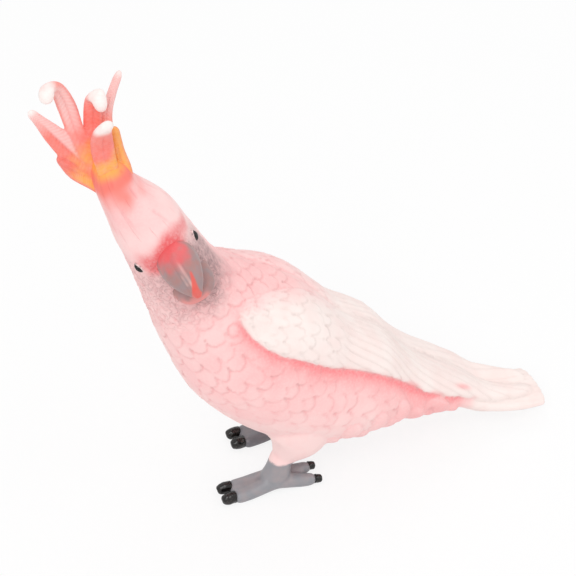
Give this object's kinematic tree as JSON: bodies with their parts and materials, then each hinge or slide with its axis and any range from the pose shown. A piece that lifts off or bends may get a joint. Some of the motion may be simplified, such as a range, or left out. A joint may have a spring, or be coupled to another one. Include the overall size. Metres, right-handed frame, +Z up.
{
  "type": "cockatoo figurine",
  "caption": "Moulded plastic figurine of a standing pink cockatoo with its head turned to one side and its crest raised.",
  "frame": {"origin": "middle of the overall box, on the floor that the two feet stand on", "axes": "+Z up from the floor, -X the way the body and toes point, +X towards the tail, -Y the bird's left side, to which the face is turned"},
  "size_m": [0.1412, 0.0442, 0.1347],
  "materials": {
    "painted_pvc": "soft PVC moulded in one piece, sprayed pink, off-white, red, orange and grey, with glossy black eyes and claws"
  },
  "bodies": {
    "root": {"bird_figurine": "painted_pvc"}
  },
  "joints": []
}
